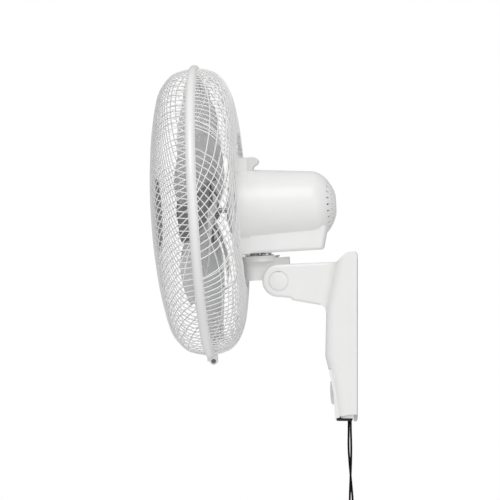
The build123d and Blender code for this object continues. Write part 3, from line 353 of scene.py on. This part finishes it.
def lathe(profile, steps):
    """Turn a closed (radius, along) profile about the Y axis."""
    verts, faces = [], []
    for k in range(steps):
        angle = math.radians(360.0 * k / steps)
        c, s = math.cos(angle), math.sin(angle)
        verts += [(r * c, a, r * s) for r, a in profile]
    n = len(profile)
    for k in range(steps):
        here, there = k * n, ((k + 1) % steps) * n
        for i in range(n):
            j = (i + 1) % n
            faces.append((here + i, here + j, there + j, there + i))
    return verts, faces


def tube(points, radius, sides=6):
    """A round wire along points, its ends closed."""
    p = np.array(points, float)
    d = np.gradient(p, axis=0)
    d /= np.linalg.norm(d, axis=1)[:, None]
    side = np.cross(d[0], (0.0, 1.0, 0.0))
    if np.linalg.norm(side) < 1e-3:
        side = np.cross(d[0], (1.0, 0.0, 0.0))
    verts, faces = [], []
    for i in range(len(p)):
        side = side - d[i] * (side @ d[i])
        side /= np.linalg.norm(side)
        up = np.cross(d[i], side)
        for k in range(sides):
            angle = 2 * math.pi * k / sides
            verts.append(p[i] + radius * (math.cos(angle) * side + math.sin(angle) * up))
    for i in range(len(p) - 1):
        for k in range(sides):
            j = (k + 1) % sides
            faces.append((i * sides + k, i * sides + j, (i + 1) * sides + j, (i + 1) * sides + k))
    faces.append(tuple(range(sides))[::-1])
    faces.append(tuple(range((len(p) - 1) * sides, len(p) * sides)))
    return verts, faces


# ---------------------------------------------------------------- pull cords
CORD_RADIUS = 0.0015
SPEED_ROUTE = [(-12.1, -113.6), (-12.1, -134.0), (-12.6, -160.0), (-10.8, -184.0), (-8.4, -211.0),
               (-5.9, -238.0), (-6.6, -268.0), (-8.6, -299.0), (-8.6, -330.0)]
SWING_ROUTE = [(-9.9, -113.6), (-9.9, -134.0), (-9.0, -158.0), (-9.2, -182.0), (-10.3, -209.0),
               (-11.5, -238.0), (-10.6, -266.0), (-9.8, -295.0), (-9.8, -324.0)]


def cord(name, x, route, body, node):
    """A hanging pull cord as one smooth spline through the switch's eyelet down to its knob."""
    curve = bpy.data.curves.new(name, "CURVE")
    curve.dimensions = "3D"
    curve.bevel_depth = CORD_RADIUS
    curve.bevel_resolution = 4
    curve.use_fill_caps = True
    spline = curve.splines.new("NURBS")
    spline.points.add(len(route) - 1)
    for point, (y, z) in zip(spline.points, route):
        point.co = (x * 0.001, y * 0.001, z * 0.001, 1)
    spline.order_u = 3
    spline.use_endpoint_u = True
    spline.resolution_u = 12
    curve.materials.append(mats["cord_black"])
    obj = bpy.data.objects.new(name, curve)
    bpy.context.scene.collection.objects.link(obj)
    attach(obj, body)
    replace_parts(obj, node)


cord("speed_cord_line", 22.0, SPEED_ROUTE, "speed_pull", "speed_cord")
cord("swing_cord_line", -22.0, SWING_ROUTE, "swing_pull", "swing_cord")

# ---------------------------------------------------------------- wire guard
RIM_R = 208.0
WIRE_R = 0.72
PITCH = 9.6
LAYER_SINK = 0.15        # how far crossing wires are pressed into each other at their welds
FRONT_TURNS = (42.0, 168.0)
REAR_TURNS = (130.0, 57.0)
SECOND_PHASE = 4.0       # sideways shift of the second family of wires
END_MARGIN = 3.0         # no wire runs closer to the rim's edge than this
PROFILE_STEPS = 150
RIM_WALL = 3.2
RIM_DEPTH = 7.0
RIM_GAP = 0.3
DISH_EDGE, DISH_HOLE = 78.0, 19.3
DISH_BACK, DISH_FRONT = 49.1, 47.5
FRONT_CURVE = [(207.7, -6.4), (207.0, -13.0), (202.6, -28.8), (196.4, -37.8), (187.8, -45.3), (178.0, -51.6),
               (165.2, -55.8), (148.2, -59.7), (130.2, -63.2), (104.2, -66.8), (80.0, -69.4), (56.2, -71.0),
               (40.0, -71.8), (24.0, -72.4)]
REAR_CURVE = [(207.7, 6.4), (207.2, 11.8), (205.2, 19.8), (201.8, 28.8), (195.0, 36.8), (184.8, 44.1),
              (168.2, 50.8), (145.8, 55.2), (128.2, 57.6), (118.0, 58.4), (114.6, 58.6), (112.8, 57.9),
              (111.2, 53.0), (110.2, 50.2), (108.0, 49.1), (95.0, 49.1), (77.0, 49.1)]


def smooth_profile(points, inset):
    """Evenly spaced (r, a) points on a smooth curve through the given ones, set inwards by inset."""
    p = np.array(points, float)
    t = np.concatenate([[0], np.cumsum(np.linalg.norm(np.diff(p, axis=0), axis=1))])
    q = []
    for i in range(len(p) - 1):
        m0 = (p[i + 1] - p[i - 1]) / (t[i + 1] - t[i - 1]) if i else (p[1] - p[0]) / (t[1] - t[0])
        last = i + 2 >= len(p)
        after = i + 1 if last else i + 2
        m1 = (p[after] - p[i]) / (t[after] - t[i])
        h = t[i + 1] - t[i]
        for s in np.linspace(0, 1, 24, endpoint=False):
            q.append((2 * s ** 3 - 3 * s ** 2 + 1) * p[i] + (s ** 3 - 2 * s ** 2 + s) * h * m0
                     + (-2 * s ** 3 + 3 * s ** 2) * p[i + 1] + (s ** 3 - s ** 2) * h * m1)
    q.append(p[-1])
    q = np.array(q)
    length = np.concatenate([[0], np.cumsum(np.linalg.norm(np.diff(q, axis=0), axis=1))])
    even = np.linspace(0, length[-1], PROFILE_STEPS)
    out = np.stack([np.interp(even, length, q[:, 0]), np.interp(even, length, q[:, 1])], axis=1)
    tangent = np.gradient(out, axis=0)
    tangent /= np.linalg.norm(tangent, axis=1)[:, None]
    inward = np.stack([tangent[:, 1], -tangent[:, 0]], axis=1)
    middle = PROFILE_STEPS // 2
    if inward[middle] @ np.array([0.0, -np.sign(out[middle, 1])]) < 0:
        inward = -inward
    return out + inset * inward


def draped_line(profile, c):
    """Radius, along and turn of a straight wire draped over the dome, from the rim to its nearest point."""
    rows = [tuple(p) for p in profile if p[0] > c + 1e-6]
    if len(rows) < len(profile):
        (r0, a0), (r1, a1) = profile[len(rows) - 1], profile[len(rows)]
        share = (r0 - c) / (r0 - r1)
        rows.append((c, a0 + (a1 - a0) * share))
        turn = 0.0
    else:
        turn = math.acos(c / rows[-1][0])
    turns = [turn]
    for (r1, a1), (r0, a0) in zip(rows[-2::-1], rows[:0:-1]):
        step = abs(r1 - r0) + 0.6 * (math.hypot(r1 - r0, a1 - a0) - abs(r1 - r0))
        if abs(r1 - r0) > 1e-4:
            turn += step / (r1 - r0) * (math.acos(min(1, c / r1)) - math.acos(min(1, c / r0)))
        else:
            turn += c / r1 ** 2 / math.sqrt(max(1e-6, 1 - (c / r1) ** 2)) * step
        turns.append(turn)
    return rows, turns[::-1]


def net(curve, angle, layer, phase=0.0):
    """One family of parallel wires over a dome."""
    profile = smooth_profile(curve, WIRE_R + layer * (2 * WIRE_R - LAYER_SINK))
    limit = profile[0][0] - END_MARGIN
    parts = []
    count = int(limit / PITCH)
    for i in range(-count, count + 1):
        c = i * PITCH + phase
        if abs(c) > limit:
            continue
        middle = math.radians(angle + (90 if c >= 0 else -90))
        rows, turns = draped_line(profile, abs(c))
        arms = []
        for sign in (-1, 1):
            arms.append([(r * math.cos(middle + sign * t), a, r * math.sin(middle + sign * t))
                         for (r, a), t in zip(rows, turns)])
        if abs(rows[-1][0] - abs(c)) < 1e-6:
            parts.append(tube(arms[0] + arms[1][-2::-1], WIRE_R))
        else:
            parts += [tube(arm, WIRE_R) for arm in arms]
    return parts


def rim(sign):
    """Rolled rim that the wires' ends are welded to."""
    inner, near, far = RIM_R - RIM_WALL, sign * RIM_GAP, sign * RIM_DEPTH
    return lathe(rounded([(RIM_R, far), (RIM_R, near), (inner, near), (inner, far)], 1.5), 256)


front_net = net(FRONT_CURVE, FRONT_TURNS[0], 0) + net(FRONT_CURVE, FRONT_TURNS[1], 1, SECOND_PHASE)
front_net.append(rim(-1))
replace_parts(piece("front_net", *join(front_net), "head", "white_wire", RING, 50), "front_grille")
rear_net = net(REAR_CURVE, REAR_TURNS[0], 0) + net(REAR_CURVE, REAR_TURNS[1], 1, SECOND_PHASE)
rear_net.append(rim(1))
dish = [(DISH_EDGE, DISH_BACK), (DISH_EDGE, DISH_FRONT), (DISH_HOLE, DISH_FRONT), (DISH_HOLE, DISH_BACK)]
rear_net.append(lathe(rounded(dish, 0.6), 160))
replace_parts(piece("rear_net", *join(rear_net), "head", "white_wire", RING, 50), "rear_grille")


# ---------------------------------------------------------------- floor, light and background
def stage_plane(name, size, z):
    half = size / 2
    mesh = bpy.data.meshes.new(name)
    corners = [(-half, -half, z), (half, -half, z), (half, half, z), (-half, half, z)]
    mesh.from_pydata(corners, [], [(0, 1, 2, 3)])
    obj = bpy.data.objects.new(name, mesh)
    bpy.context.scene.collection.objects.link(obj)
    return obj


floor = stage_plane("floor", 2.2, -0.46)
floor_mat, _, floor_bsdf = shader("floor_pale", (0.86, 0.86, 0.86), 0.9)
floor_bsdf.inputs["Emission Color"].default_value = (1, 1, 1, 1)
floor_bsdf.inputs["Emission Strength"].default_value = 0.12
floor.data.materials.append(floor_mat)


def area_light(name, place, aim, size, power):
    data = bpy.data.lights.new(name, "AREA")
    data.shape = "SQUARE"
    data.size = size
    data.energy = power
    obj = bpy.data.objects.new(name, data)
    bpy.context.scene.collection.objects.link(obj)
    obj.location = place
    direction = Vector(aim) - Vector(place)
    obj.rotation_mode = "QUATERNION"
    obj.rotation_quaternion = direction.to_track_quat("-Z", "Y")


FAN_MIDDLE = (0, -0.15, 0.1)
area_light("key", (2.2, -0.4, 2.4), FAN_MIDDLE, 1.8, 44)
area_light("side", (2.6, 1.2, 0.5), FAN_MIDDLE, 1.6, 10)
world = bpy.data.worlds.new("studio")
bpy.context.scene.world = world
world.use_nodes = True
tree = world.node_tree
tree.nodes.clear()
out = tree.nodes.new("ShaderNodeOutputWorld")
path = tree.nodes.new("ShaderNodeLightPath")
soft = tree.nodes.new("ShaderNodeBackground")
soft.inputs["Color"].default_value = (1, 1, 1, 1)
soft.inputs["Strength"].default_value = 0.50
plain = tree.nodes.new("ShaderNodeBackground")
plain.inputs["Color"].default_value = (1, 1, 1, 1)
plain.inputs["Strength"].default_value = 1.0
either = tree.nodes.new("ShaderNodeMath")
either.operation = "MAXIMUM"
tree.links.new(path.outputs["Is Camera Ray"], either.inputs[0])
tree.links.new(path.outputs["Is Transmission Ray"], either.inputs[1])
mix = tree.nodes.new("ShaderNodeMixShader")
tree.links.new(either.outputs[0], mix.inputs["Fac"])
tree.links.new(soft.outputs[0], mix.inputs[1])
tree.links.new(plain.outputs[0], mix.inputs[2])
tree.links.new(mix.outputs[0], out.inputs["Surface"])
bpy.context.scene.view_settings.view_transform = "Standard"
